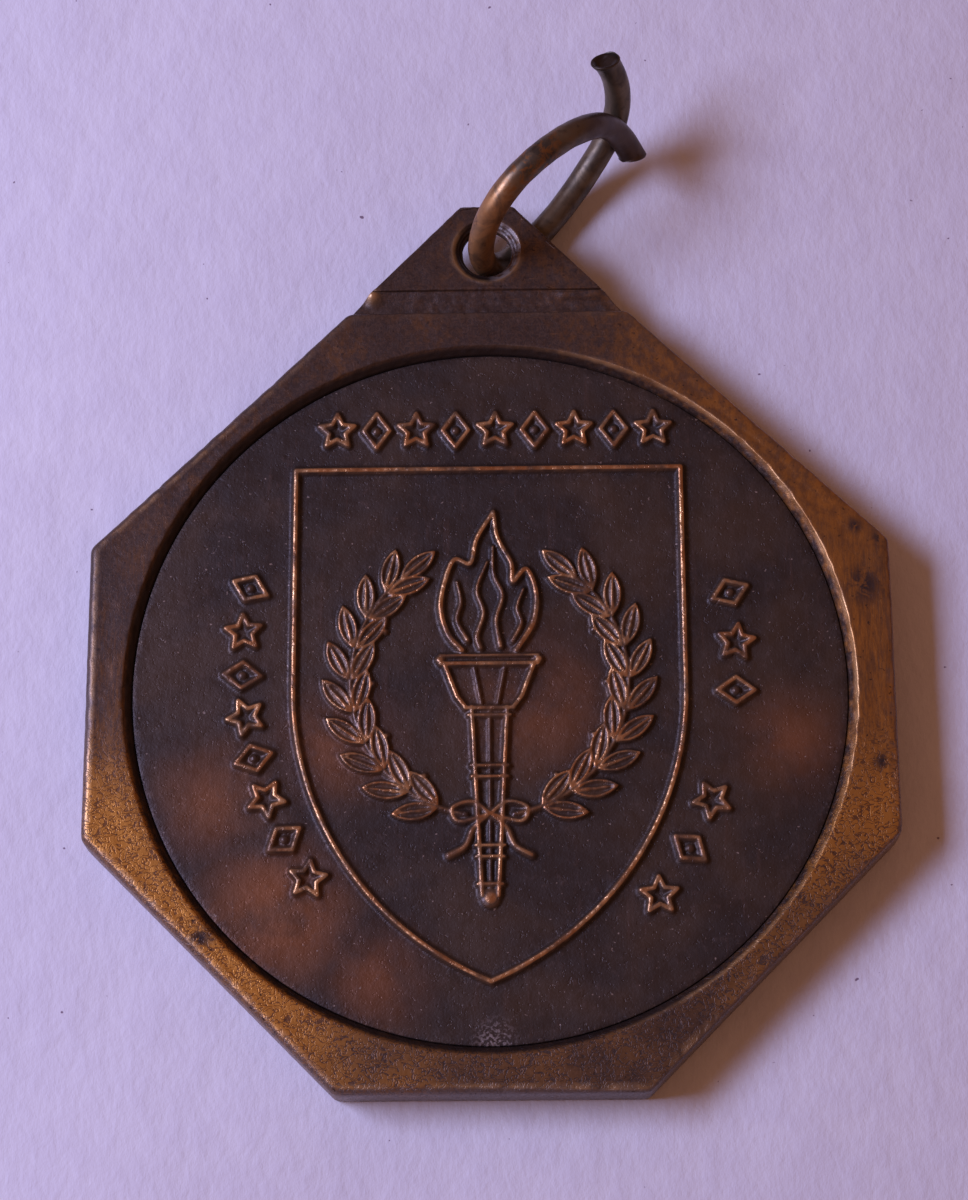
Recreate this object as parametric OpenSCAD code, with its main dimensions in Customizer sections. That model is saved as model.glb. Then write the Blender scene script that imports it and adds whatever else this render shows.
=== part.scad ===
// Finisher medal: an octagonal bronze plate with a hanger ear, a struck centre
// disc seated in its face, and an opened wire jump ring through the ear.
// The back face lies on z = 0, +Z points out of the face and +Y to the ear.

/* [Plate] */
// Width across the flats of the octagonal plate
across_flats = 50; // [48:1:60]
// Thickness of the plate
plate_thick = 3.4; // [3.4:0.1:4]
// Length of the flat side that carries the ear
top_side = 17.8; // [17.8:0.1:20]
// Length of the flat side opposite the ear
bottom_side = 18.8; // [16:0.1:22]
// Length of the flat sides to the left and right
flank_side = 18.7; // [16:0.1:22]

/* [Centre disc] */
// Diameter of the opening in the front of the plate
opening_dia = 45.2; // [44:0.1:46]
// Diameter of the disc
disc_dia = 44.2; // [42:0.1:44.2]
// Thickness of the disc
disc_thick = 1.2; // [0.8:0.1:1.6]
// Depth of the disc's face below the front of the plate
face_depth = 0.55; // [0.4:0.05:0.8]
// Height of the raised work on the disc
relief_height = 0.35; // [0.2:0.05:0.4]

/* [Shield] */
// Width of the shield over its border
shield_width = 24.9; // [22:0.1:26]
// Height of the shield's upper edge above the disc's centre
shield_top = 14.7; // [12:0.1:15]
// Width of the raised border line
border_line = 0.65; // [0.5:0.05:1]

/* [Emblem] */
// Radius of the laurel wreath
wreath_radius = 8.6; // [8:0.1:9]
// Leaves on each side of each branch
leaf_count = 9; // [6:1:10]
// Length of a laurel leaf
leaf_length = 2.9; // [2.4:0.1:3]

/* [Ear] */
// Height of the ear's top edge above the plate's centre
ear_top = 32.4; // [32:0.1:33]
// Length of the ear's top edge
ear_top_edge = 3.4; // [3:0.1:5]
// Thickness of the ear at its hole
ear_thick = 1.3; // [1:0.1:1.3]
// Distance from the plate's centre to the hanger hole
hole_y = 29.25; // [29:0.05:29.5]
// Diameter of the hanger hole
hole_dia = 3.2; // [3.2:0.1:3.6]
// Diameter of the countersink around the hanger hole
sink_dia = 4.3; // [3.8:0.1:4.6]

/* [Jump ring] */
// Diameter of the ring's wire
wire_dia = 1.7; // [1.4:0.1:1.7]

/* [Hidden] */
$fn = 64;

half = across_flats / 2;
face_z = plate_thick - face_depth;
seat_z = face_z - disc_thick;
seat_gap = 0.05;
shield_half = shield_width / 2;
side_arc_radius = 20.1;
relief_root = 0.1;

ear_face = plate_thick - 0.1;
ear_back = ear_face - ear_thick;
web_thick = ear_thick - 0.35;
ear_foot = half + 1.5;
ear_foot_half = 7.4;
web_foot_half = 8.7;
sink_depth = (sink_dia - hole_dia) / 2;

wreath_centre = 0.5;
wreath_start = -74;
wreath_end = 50;
stem_width = 0.6;
leaf_width = 1.15;
leaf_lean = 28;

ornament_size = 1.4;
star_waist = 0.48;
lozenge_ratio = 0.72;
row_y = 17;
row_shift = 0.45;
row_pitch = 2.5;
row_count = 9;
side_angles_left = [for (i = [0:7]) 156 + i * 10.15];
side_angles_right = [158, 169.5, 181, 208, 220, 232];

// Where the wire's centre line passes the hole, and how it leans there
wire_start = [-0.21, 28.64, 3];
wire_lean = [-3, -11];
// Each arc of the wire: bend radius, bend angle, turn of the bend's plane
front_limb = [[5.7, 88, 40], [6.3, 61, 7], [4.8, 54, -51]];
rear_limb = [[2.4, 87, 140], [18.5, 12, -81], [9.5, 34, 90], [5.7, 66, -33]];
bend_step = 8;
wire_sides = 20;

module octagon() {
    corners = [
        [top_side / 2, half], [half, flank_side / 2],
        [half, -flank_side / 2], [bottom_side / 2, -half],
        [-bottom_side / 2, -half], [-half, -flank_side / 2],
        [-half, flank_side / 2], [-top_side / 2, half]
    ];
    polygon(corners);
}

// Trapezoid of the ear above a foot line
module ear_shape(foot_y, foot_half) {
    polygon([
        [-foot_half, foot_y], [-ear_foot_half, ear_foot], [-ear_top_edge / 2, ear_top],
        [ear_top_edge / 2, ear_top], [ear_foot_half, ear_foot], [foot_half, foot_y]
    ]);
}

module ear() {
    translate([0, 0, ear_back]) {
        linear_extrude(web_thick) ear_shape(half, web_foot_half);
        linear_extrude(ear_thick) ear_shape(ear_foot - 0.1, ear_foot_half);
        translate([-web_foot_half, half - 1, 0]) cube([2 * web_foot_half, 1, web_thick]);
    }
}

module hanger_hole() {
    translate([0, hole_y, 0]) {
        cylinder(d = hole_dia, h = plate_thick);
        translate([0, 0, ear_face - sink_depth])
            cylinder(d1 = hole_dia, d2 = sink_dia, h = sink_depth);
        translate([0, 0, ear_back])
            cylinder(d1 = hole_dia + 0.8, d2 = hole_dia, h = 0.4);
    }
}

module octagon_frame() {
    color("saddlebrown") difference() {
        union() {
            linear_extrude(plate_thick) octagon();
            ear();
        }
        translate([0, 0, seat_z]) cylinder(d = disc_dia + 2 * seat_gap, h = plate_thick, $fn = 128);
        translate([0, 0, face_z])
            cylinder(d1 = disc_dia + 2 * seat_gap, d2 = opening_dia, h = face_depth, $fn = 128);
        hanger_hole();
    }
}

// Heater shield, drawn inset from its outer edge
module shield(inset) {
    arc_radius = side_arc_radius - inset;
    reach = side_arc_radius - shield_half;
    translate([inset - shield_half, 0]) square([shield_width - 2 * inset, shield_top - inset]);
    intersection() {
        translate([reach, 0]) circle(arc_radius, $fn = 128);
        translate([-reach, 0]) circle(arc_radius, $fn = 128);
        translate([-shield_half, -across_flats / 2]) square([shield_width, across_flats / 2]);
    }
}

module star(radius) {
    polygon([for (i = [0:9]) let (r = i % 2 == 0 ? radius : radius * star_waist)
        [r * sin(i * 36), r * cos(i * 36)]]);
}

module lozenge(radius) {
    side = radius * lozenge_ratio;
    polygon([[0, radius], [side, 0], [0, -radius], [-side, 0]]);
}

// Stars and lozenges take turns along a row
module ornament(index) {
    if (index % 2 == 0) star(ornament_size);
    else lozenge(ornament_size);
}

// The side rows follow the shield's edge and swing out at both ends
module side_row(angles) {
    for (i = [0:len(angles) - 1]) {
        radius = 15.1 + 1.2 * pow((angles[i] - 192) / 36, 2);
        rotate(angles[i]) translate([radius, 0]) rotate(-90) ornament(i + 1);
    }
}

module ornaments() {
    for (i = [0:row_count - 1])
        translate([row_shift + (i - (row_count - 1) / 2) * row_pitch, row_y]) ornament(i);
    side_row(side_angles_left);
    mirror([1, 0]) side_row(side_angles_right);
}

// Leaf shape where two circles overlap, growing along +X
module leaf(length, width) {
    radius = (length * length + width * width) / (4 * width);
    translate([length / 2, 0]) intersection() {
        translate([0, radius - width / 2]) circle(radius);
        translate([0, width / 2 - radius]) circle(radius);
    }
}

module laurel_branch() {
    span = wreath_end - wreath_start;
    translate([0, wreath_centre]) {
        for (i = [0:leaf_count - 1], side = [-1, 1])
            rotate(wreath_start + (i + 0.4) * span / leaf_count)
                translate([wreath_radius, 0])
                    rotate(90 - side * leaf_lean)
                        leaf(leaf_length, leaf_width);
        rotate(wreath_end) translate([wreath_radius, 0]) rotate(90) leaf(leaf_length, leaf_width);
        intersection() {
            difference() {
                circle(wreath_radius + stem_width / 2, $fn = 96);
                circle(wreath_radius - stem_width / 2, $fn = 96);
            }
            polygon([[0, 0], 2 * wreath_radius * [cos(wreath_start), sin(wreath_start)],
                [3 * wreath_radius, 0], 2 * wreath_radius * [cos(wreath_end), sin(wreath_end)]]);
        }
    }
}

module torch() {
    polygon([[-0.55, -13], [0.55, -13], [1.15, -1.2], [-1.15, -1.2]]);
    polygon([[-1.6, -1.4], [1.6, -1.4], [2.9, 1.6], [-2.9, 1.6]]);
    translate([-3.2, 1.4]) square([6.4, 0.8]);
    translate([0, 2]) rotate(90) leaf(9.6, 4.2);
    translate([-1.7, 2]) rotate(104) leaf(6.2, 2.4);
    translate([1.7, 2]) rotate(76) leaf(6.2, 2.4);
}

module relief() {
    linear_extrude(relief_height + relief_root) {
        difference() {
            shield(0);
            shield(border_line);
        }
        ornaments();
        torch();
        laurel_branch();
        mirror([1, 0]) laurel_branch();
    }
}

module centre_disc() {
    color("#4a3430") {
        translate([0, 0, seat_z]) cylinder(d = disc_dia, h = disc_thick, $fn = 128);
        translate([0, 0, face_z - relief_root]) relief();
    }
}

function turn_y(a) = [[cos(a), 0, sin(a)], [0, 1, 0], [-sin(a), 0, cos(a)]];
function turn_z(a) = [[cos(a), -sin(a), 0], [sin(a), cos(a), 0], [0, 0, 1]];
function turn_x(a) = [[1, 0, 0], [0, cos(a), -sin(a)], [0, sin(a), cos(a)]];

// Places along arcs joined end to end, as [point, axes, axes' turn about the wire]
function limb(arcs, at, axes, turned = 0, index = 0) =
    index == len(arcs) ? [] :
    let (
        radius = arcs[index][0],
        angle = arcs[index][1],
        turn = turned + arcs[index][2],
        start = axes * turn_z(arcs[index][2]),
        steps = ceil(angle / bend_step),
        places = [for (k = [1:steps]) let (a = angle * k / steps)
            [at + start * [radius * (1 - cos(a)), 0, radius * sin(a)], start * turn_y(a), turn]],
        last = places[steps - 1]
    )
    concat(places, limb(arcs, last[0], last[1], turn, index + 1));

// One round section of the wire; side is 1 ahead of the hole and -1 behind it
function section(place, side) = [for (j = [0:wire_sides - 1]) let (t = 360 * j / wire_sides)
    place[0] + place[1] * turn_z(-place[2]) * [side * cos(t), sin(t), 0] * wire_dia / 2];

module wire(sections) {
    count = len(sections);
    corner = function (ring, j) ring * wire_sides + j % wire_sides;
    sides = [for (ring = [0:count - 2], j = [0:wire_sides - 1])
        [corner(ring, j), corner(ring + 1, j), corner(ring + 1, j + 1), corner(ring, j + 1)]];
    first_cap = [for (j = [0:wire_sides - 1]) j];
    last_cap = [for (j = [wire_sides - 1:-1:0]) corner(count - 1, j)];
    polyhedron([for (ring = sections) each ring], concat(sides, [first_cap, last_cap]));
}

module jump_ring() {
    axes = turn_x(wire_lean.x) * turn_y(wire_lean.y);
    front = limb(front_limb, wire_start, axes);
    rear = limb(rear_limb, wire_start, axes * turn_y(180));
    sections = concat(
        [for (i = [len(rear) - 1:-1:0]) section(rear[i], -1)],
        [section([wire_start, axes, 0], 1)],
        [for (place = front) section(place, 1)]
    );
    color("dimgray") wire(sections);
}

octagon_frame();
centre_disc();
jump_ring();
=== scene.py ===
"""Looks of a finisher medal: octagonal bronze plate with an ear, struck disc, opened wire ring.

Shapes are worked out in millimetres in the CAD frame and turned into metres on the way in.
"""

from math import atan2, ceil, cos, hypot, pi, radians, sin

import bpy
import numpy as np
from mathutils import Matrix, Vector


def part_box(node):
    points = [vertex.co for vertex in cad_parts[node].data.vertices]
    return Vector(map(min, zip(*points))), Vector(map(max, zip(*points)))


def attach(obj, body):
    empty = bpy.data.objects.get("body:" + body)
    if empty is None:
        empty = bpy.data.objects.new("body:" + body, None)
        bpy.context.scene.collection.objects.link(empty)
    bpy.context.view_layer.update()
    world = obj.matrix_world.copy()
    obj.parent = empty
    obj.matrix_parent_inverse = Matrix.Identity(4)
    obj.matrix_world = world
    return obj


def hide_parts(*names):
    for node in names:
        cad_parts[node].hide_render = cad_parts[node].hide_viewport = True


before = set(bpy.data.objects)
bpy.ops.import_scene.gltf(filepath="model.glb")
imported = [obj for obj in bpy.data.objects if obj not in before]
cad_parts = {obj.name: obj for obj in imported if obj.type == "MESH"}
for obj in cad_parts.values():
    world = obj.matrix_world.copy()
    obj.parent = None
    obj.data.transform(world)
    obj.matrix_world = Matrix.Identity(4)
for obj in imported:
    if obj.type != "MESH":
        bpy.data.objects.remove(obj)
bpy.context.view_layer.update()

MM = 0.001


def box_mm(node):
    """Lowest and highest corner of a CAD node, in millimetres."""
    low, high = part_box(node)
    return [v / MM for v in low], [v / MM for v in high]


plate_high = box_mm("octagon_frame")[1]
disc_low, disc_high = box_mm("centre_disc")

# Plate: half the octagon's width, and half the length of each kind of side
HALF = plate_high[0]
PLATE_TOP = plate_high[2]
TOP_HALF = 8.9
FLANK_HALF = 9.35
BOTTOM_HALF = 9.4
OPENING_RADIUS = 22.6
BORE_RADIUS = disc_high[0] + 0.05
PLATE_ANGLES = 960
CORNER_STEPS = (-0.5, -0.3, -0.14, 0, 0.14, 0.3, 0.5)
CORNER_SHARPNESS = 260
BACK_ROUNDING = 0.2
WALL_SINK = 0.04
WALL_LEVELS = (0.5, 1.0, 1.5, 2.0, 2.5)
WALL_BOW = 0.03
EDGE_LEAST = 0.17
EDGE_LEFT = 0.22
EDGE_DEPTH = 1.3
FACE_INSET = 0.70
FACE_STEPS = 17
INNER_EDGE = 0.11

# Disc: a fine square is the mesh's step under raised work, and a plain one is split in three
DISC_RADIUS = disc_high[0]
FINE_SQUARE = 0.094
RELIEF_MARGIN = 0.34
DISC_LIP = 0.07
SEAT_Z = disc_low[2]
RELIEF = 0.35
FIELD_Z = disc_high[2] - RELIEF

# Shield
SHIELD_HALF = 12.45
SHIELD_TOP = 14.7
BORDER = 0.65
SIDE_ARC = 20.1

# Emblem
WREATH_RADIUS = 8.6
WREATH_Y = 0.5
WREATH_START = -74
WREATH_END = 50
LEAF_PAIRS = 9
LEAF_LENGTH = 2.9
LEAF_WIDTH = 1.15
LEAF_LEAN = 28

# Rows of ornaments
ORNAMENT = 1.4
STAR_WAIST = 0.48
LOZENGE_RATIO = 0.72
ROW_Y = 17.0
ROW_SHIFT = 0.45
ROW_PITCH = 2.5
ROW_COUNT = 9
SIDE_LEFT = [156 + i * 10.15 for i in range(8)]
SIDE_RIGHT = [158, 169.5, 181, 208, 220, 232]

# Ear
EAR_TOP = plate_high[1]
EAR_TOP_HALF = 1.7
EAR_FACE = PLATE_TOP - 0.1
EAR_BACK = EAR_FACE - 1.3
WEB_FACE = EAR_BACK + 0.95
EAR_FOOT = HALF + 1.5
EAR_FOOT_HALF = 7.4
WEB_FOOT_HALF = 8.7
HOLE_Y = 29.25
HOLE_RADIUS = 1.6
SINK_RADIUS = 2.15
SINK_DEPTH = 0.55
SINK_RINGS = 18
EAR_ANGLES = 420
EAR_ROOT = 0.6
EAR_LIP = 0.12
PAD_EDGE = 0.14
PAD_STEPS = 15
SLOPE_STEPS = 18
BACK_EDGE = 0.12
CASTING_BLOB = (-7.35, 26.2)

# Ring: each bend of a limb is (radius, angle, turn about the wire before it)
WIRE_RADIUS = 0.85
WIRE_SIDES = 40
BEND_STEP = 4.0
WIRE_START = (-0.21, 28.64, 3.0)
WIRE_LEAN = (-3, -11)
FRONT_LIMB = [(5.7, 88, 40), (6.3, 61, 7), (4.8, 54, -51)]
REAR_LIMB = [(2.4, 87, 140), (18.5, 12, -81), (9.5, 34, 90), (5.7, 66, -33)]
CUT_PROFILE = ((1.03, 0.05), (1.05, 0.12), (0.98, 0.17), (0.86, 0.17), (0.74, 0.10),
               (0.66, -0.02), (0.42, -0.05), (0.2, -0.02))
CUT_BACK = Vector((0, 0, 0.16))
REAR_SLANT = (-0.45, -0.35, 0)
FRONT_SLANT = (0.3, 0.1, 0)

# How far beyond its crest a raised line spreads at its foot
FLANK = 0.11


# ---------------------------------------------------------------- numbers

def ripple(points, size, seed):
    """Smooth noise of about -1 to 1 over points, its waves about size long."""
    rng = np.random.default_rng(seed)
    points = np.asarray(points, float)
    total = np.zeros(len(points))
    waves = 14
    for _ in range(waves):
        way = rng.normal(size=points.shape[1])
        way *= 2 * pi * rng.uniform(0.6, 1.7) / size / np.linalg.norm(way)
        total += np.sin(points @ way + rng.uniform(0, 2 * pi))
    return total / np.sqrt(waves)


def smooth(t):
    """0 to 1 with flat ends."""
    t = np.clip(t, 0, 1)
    return t * t * (3 - 2 * t)


def turned(point, degrees):
    """A point turned about the origin."""
    c, s = cos(radians(degrees)), sin(radians(degrees))
    return (c * point[0] - s * point[1], s * point[0] + c * point[1])


def curve(points, steps=6):
    """Points along a smooth curve through the given ones."""
    p = np.array(points, float)
    ends = np.vstack([2 * p[0] - p[1], p, 2 * p[-1] - p[-2]])
    out = []
    for a, b, c, d in zip(ends, ends[1:], ends[2:], ends[3:]):
        for k in range(steps):
            t = k / steps
            out.append(0.5 * (2 * b + (c - a) * t + (2 * a - 5 * b + 4 * c - d) * t * t
                              + (3 * b - a - 3 * c + d) * t ** 3))
    out.append(p[-1])
    return np.array(out)


# ---------------------------------------------------------------- meshes

def make_piece(name, points, faces, node, body, slot, material):
    """A smooth-shaded piece from points in millimetres, standing for a CAD node."""
    mesh = bpy.data.meshes.new(name)
    mesh.from_pydata((np.asarray(points) * MM).tolist(), [], faces)
    mesh.validate()
    mesh.shade_smooth()
    piece = bpy.data.objects.new(name, mesh)
    bpy.context.scene.collection.objects.link(piece)
    piece.data.materials.append(material)
    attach(piece, body)
    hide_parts(node)
    return piece


def add_attribute(piece, name, values):
    """A value for each point, read by the piece's material."""
    layer = piece.data.attributes.new(name, "FLOAT", "POINT")
    layer.data.foreach_set("value", np.asarray(values, np.float32))


def points_mm(piece):
    """The piece's points, in millimetres."""
    flat = np.zeros(len(piece.data.vertices) * 3, np.float32)
    piece.data.vertices.foreach_get("co", flat)
    return flat.reshape(-1, 3).astype(float) / MM


def skin(loops, closed=True):
    """Quads between closed loops of equal length; closed also caps both ends."""
    count = len(loops[0])
    here = np.arange(count)
    after = np.roll(here, -1)
    faces = []
    for k in range(len(loops) - 1):
        low, high = k * count, (k + 1) * count
        faces += np.stack([low + here, low + after, high + after, high + here], 1).tolist()
    if closed:
        faces.append(here[::-1].tolist())
        faces.append((here + (len(loops) - 1) * count).tolist())
    return np.vstack(loops), faces


# ---------------------------------------------------------------- plate

def octagon_sides():
    """(nx, ny, distance) of each side of the octagon."""
    corners = [(TOP_HALF, HALF), (HALF, FLANK_HALF), (HALF, -FLANK_HALF), (BOTTOM_HALF, -HALF)]
    corners += [(-x, y) for x, y in reversed(corners)]
    sides = []
    for (ax, ay), (bx, by) in zip(corners, corners[1:] + corners[:1]):
        length = hypot(bx - ax, by - ay)
        nx, ny = (ay - by) / length, (bx - ax) / length
        sides.append((nx, ny, nx * ax + ny * ay))
    return corners, sides


CORNERS, SIDES = octagon_sides()


def octagon_radius(theta, inset=0.0):
    """Distance from the centre to the octagon, its corners slightly rounded."""
    total = np.zeros_like(theta)
    for nx, ny, distance in SIDES:
        facing = nx * np.cos(theta) + ny * np.sin(theta)
        total += np.clip(HALF * facing / (distance - inset), 0, None) ** CORNER_SHARPNESS
    return HALF * total ** (-1 / CORNER_SHARPNESS)


def plate_angles():
    """Even angles, with more of them at the corners."""
    angles = np.linspace(-pi, pi, PLATE_ANGLES, endpoint=False)
    extra = [atan2(y, x) + radians(step) for x, y in CORNERS for step in CORNER_STEPS]
    angles = np.sort(np.concatenate([angles, extra]))
    keep = np.diff(angles, append=angles[0] + 2 * pi) > radians(0.06)
    return angles[keep]


def nicks(theta, radius, seed, count, deepest):
    """Small dents knocked into an edge, as a depth for each angle."""
    rng = np.random.default_rng(seed)
    depth = np.zeros_like(theta)
    for _ in range(count):
        at = rng.uniform(-pi, pi)
        width = rng.uniform(0.12, 0.4)
        away = np.abs((theta - at + pi) % (2 * pi) - pi) * radius
        depth = np.maximum(depth, rng.uniform(0.2, 1) * deepest * np.exp(-(away / width) ** 2))
    return depth


def edge_size(theta):
    """How far the front edge is rounded off: most on the left, where it has been knocked."""
    return EDGE_LEAST + EDGE_LEFT * smooth((0.15 - np.cos(theta - radians(15))) / 0.5)


def plate_mesh():
    """Loops from the back's middle over the wall and the face into the pocket."""
    theta = plate_angles()
    ways = np.stack([np.cos(theta), np.sin(theta)], 1)
    rim = ways * HALF

    def loop(radius, z):
        level = np.broadcast_to(z, len(theta))
        return np.column_stack([ways * np.reshape(radius, (-1, 1)), level])

    worn = 0.03 * (1 + ripple(rim, 2.1, 5)) + 0.015 * (1 + ripple(rim, 0.6, 6))
    worn = worn + nicks(theta, HALF, 7, 46, 0.14)
    loops = [loop(octagon_radius(theta, inset), 0) for inset in (5.0, 1.2, 0.34)]
    for k in range(4):
        turn = radians(90 * k / 3)
        loops.append(loop(octagon_radius(theta, BACK_ROUNDING * (1 - sin(turn)) + WALL_SINK),
                          BACK_ROUNDING * (1 - cos(turn))))
    for z in WALL_LEVELS:
        bow = WALL_BOW * (1 - sin(pi * z / PLATE_TOP)) + 0.006 * ripple(rim + z, 0.9, 11)
        loops.append(loop(octagon_radius(theta) - np.clip(bow, 0, None), z))
    size = edge_size(theta) + worn
    for k in range(5):
        turn = radians(90 * k / 4)
        radius = octagon_radius(theta) - size * (1 - cos(turn)) - 0.015
        loops.append(loop(radius, PLATE_TOP - EDGE_DEPTH * size * (1 - sin(turn))))
    outer = octagon_radius(theta, FACE_INSET)
    inner_size = INNER_EDGE + 0.04 * (1 + ripple(rim, 1.3, 8)) + nicks(theta, 22.6, 9, 22, 0.08)
    inner = OPENING_RADIUS + inner_size
    for k in range(FACE_STEPS + 1):
        t = k / FACE_STEPS
        radius = outer + (inner - outer) * t
        xy = ways * radius[:, None]
        dip = 0.010 * (1 + ripple(xy, 3.3, 21)) + 0.005 * (1 + ripple(xy, 0.8, 22))
        loops.append(np.column_stack([xy, PLATE_TOP - dip * sin(pi * min(1, t * 1.3 + 0.08))]))
    for k in range(1, 5):
        turn = radians(65 * k / 4)
        loops.append(loop(inner - inner_size * sin(turn),
                          PLATE_TOP - inner_size * (1 - cos(turn))))
    top = PLATE_TOP - 0.12
    lip = OPENING_RADIUS - 0.05
    for k in range(1, 5):
        t = k / 4
        sag = 0.03 * sin(pi * t) * ripple(rim, 1.0, 30 + k)
        loops.append(loop(lip + (BORE_RADIUS - lip) * t + sag, top + (FIELD_Z - top) * t))
    loops += [loop(BORE_RADIUS, SEAT_Z), loop(BORE_RADIUS - 0.4, SEAT_Z), loop(12.0, SEAT_Z)]
    return skin(loops)


# ---------------------------------------------------------------- ear

def ray_to_polygon(ways, centre, polygon):
    """How far each way from the centre runs to the polygon round it."""
    reach = np.full(len(ways), np.inf)
    for (ax, ay), (bx, by) in zip(polygon, polygon[1:] + polygon[:1]):
        ex, ey = bx - ax, by - ay
        ox, oy = ax - centre[0], ay - centre[1]
        cross = ways[:, 0] * ey - ways[:, 1] * ex
        with np.errstate(divide="ignore", invalid="ignore"):
            along = (ox * ey - oy * ex) / cross
            share = (ox * ways[:, 1] - oy * ways[:, 0]) / cross
        hit = (along > 0) & (share >= -1e-9) & (share <= 1 + 1e-9)
        reach = np.where(hit & (along < reach), along, reach)
    return reach


def rounded_reach(ways, centre, polygon, sharpness=60):
    """As ray_to_polygon for a convex polygon, its corners slightly rounded."""
    total = np.zeros(len(ways))
    for (ax, ay), (bx, by) in zip(polygon, polygon[1:] + polygon[:1]):
        length = hypot(bx - ax, by - ay)
        nx, ny = (ay - by) / length, (bx - ax) / length
        distance = nx * (ax - centre[0]) + ny * (ay - centre[1])
        if distance < 0:
            nx, ny, distance = -nx, -ny, -distance
        facing = nx * ways[:, 0] + ny * ways[:, 1]
        total += np.clip(facing / distance, 0, None) ** sharpness
    return total ** (-1 / sharpness)


def ear_mesh():
    """The ear as rings round its hole: hole, countersink, pad, groove, outer wall, back."""
    centre = (0.0, HOLE_Y)
    pad = [(-EAR_FOOT_HALF, EAR_FOOT), (-EAR_TOP_HALF, EAR_TOP), (EAR_TOP_HALF, EAR_TOP),
           (EAR_FOOT_HALF, EAR_FOOT)]
    spread = (WEB_FOOT_HALF - EAR_FOOT_HALF) / (EAR_FOOT - HALF)
    web_half = WEB_FOOT_HALF + EAR_ROOT * spread
    root = HALF - EAR_ROOT
    web = [(-web_half, root)] + pad + [(web_half, root)]
    theta = np.linspace(-pi, pi, EAR_ANGLES, endpoint=False)
    extra = [atan2(y - HOLE_Y, x) + radians(s) for x, y in web for s in (-1, -0.4, 0, 0.4, 1)]
    theta = np.sort(np.concatenate([theta, extra]))
    theta = theta[np.diff(theta, append=theta[0] + 2 * pi) > radians(0.12)]
    ways = np.stack([np.cos(theta), np.sin(theta)], 1)
    pad_reach = rounded_reach(ways, centre, pad)
    web_reach = np.maximum(ray_to_polygon(ways, centre, web) - 0.02, pad_reach)
    room = web_reach - pad_reach
    low_side = smooth(room / 0.5)

    def loop(radius, z):
        xy = ways * np.reshape(radius, (-1, 1)) + centre
        return np.column_stack([xy, np.broadcast_to(z, len(theta))])

    loops = [loop(HOLE_RADIUS + 0.40, EAR_BACK), loop(HOLE_RADIUS + 0.36, EAR_BACK + 0.03)]
    loops += [loop(HOLE_RADIUS + 0.04, EAR_BACK + 0.36), loop(HOLE_RADIUS, EAR_BACK + 0.42)]
    loops += [loop(HOLE_RADIUS, EAR_FACE - 0.6)]
    for k in range(SINK_RINGS + 1):
        t = k / SINK_RINGS
        step = 0.035 * sin(t * 3 * 2 * pi) * (1 - t)
        z = EAR_FACE - SINK_DEPTH * (1 - t) ** 1.15 + step - 0.03 * t
        sway = 0.02 * ripple(ways * 3, 2.0, 41 + k // 5)
        loops.append(loop(HOLE_RADIUS + (SINK_RADIUS - HOLE_RADIUS) * t + sway * (1 - t), z))
    first = SINK_RADIUS + EAR_LIP
    loops += [loop(SINK_RADIUS + EAR_LIP * 0.5, EAR_FACE), loop(first, EAR_FACE)]
    last = pad_reach - PAD_EDGE - 0.1
    for k in range(1, PAD_STEPS + 1):
        t = k / PAD_STEPS
        radius = first + (last - first) * t
        xy = ways * radius[:, None] + centre
        dip = 0.012 * (1 + ripple(xy, 2.2, 51)) * smooth(t * 4) * smooth((1 - t) * 4)
        loops.append(np.column_stack([xy, EAR_FACE - dip]))
    jitter = 0.03 * (1 + ripple(ways * 6, 1.3, 61)) + nicks(theta, 4, 62, 12, 0.08)
    size = PAD_EDGE + jitter
    for k in range(5):
        turn = radians(90 * k / 4)
        loops.append(loop(pad_reach - 0.01 - size * (1 - sin(turn)),
                          EAR_FACE - size * (1 - cos(turn))))
    bevel_end = pad_reach + np.minimum(room, 0.12)
    loops.append(loop(bevel_end - 0.01 * (1 - low_side), EAR_FACE - 0.2))
    for k in range(1, SLOPE_STEPS + 1):
        t = k / SLOPE_STEPS
        radius = bevel_end + (web_reach - bevel_end) * t
        xy = ways * radius[:, None] + centre
        groove = WEB_FACE - 0.08 + 0.24 * smooth(1 - (EAR_FOOT - 0.05 - xy[:, 1]) / 0.85)
        rough = 0.016 * ripple(xy, 1.6, 71) + 0.010 * ripple(xy, 0.8, 72)
        off = xy - CASTING_BLOB
        blob = 0.26 * np.exp(-(off[:, 0] ** 2 / 0.16 + off[:, 1] ** 2 / 0.3))
        bar = 0.12 * smooth((xy[:, 0] - 4.6) / 0.2) * smooth((xy[:, 1] - 25.75) / 0.3)
        z = groove + (rough + bar) * low_side + blob - 0.03 * t * (1 - low_side)
        loops.append(np.column_stack([xy, z]))
    for z in (EAR_BACK + 0.6, EAR_BACK + 0.3):
        loops.append(loop(web_reach - 0.012 * (1 + ripple(ways * 6, 1.0, 81)), z))
    for k in range(4):
        turn = radians(90 * k / 3)
        loops.append(loop(web_reach - 0.02 - BACK_EDGE * (1 - cos(turn)),
                          EAR_BACK + BACK_EDGE * (1 - sin(turn))))
    back = web_reach - 0.3
    loops += [loop(back, EAR_BACK), loop((back + HOLE_RADIUS + 0.5) / 2, EAR_BACK)]
    loops.append(loop(HOLE_RADIUS + 0.5, EAR_BACK))
    points, faces = skin(loops, closed=False)
    count = len(theta)
    here = np.arange(count)
    after = np.roll(here, -1)
    low = (len(loops) - 1) * count
    faces += np.stack([low + here, low + after, after, here], 1).tolist()
    return points, faces


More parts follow.
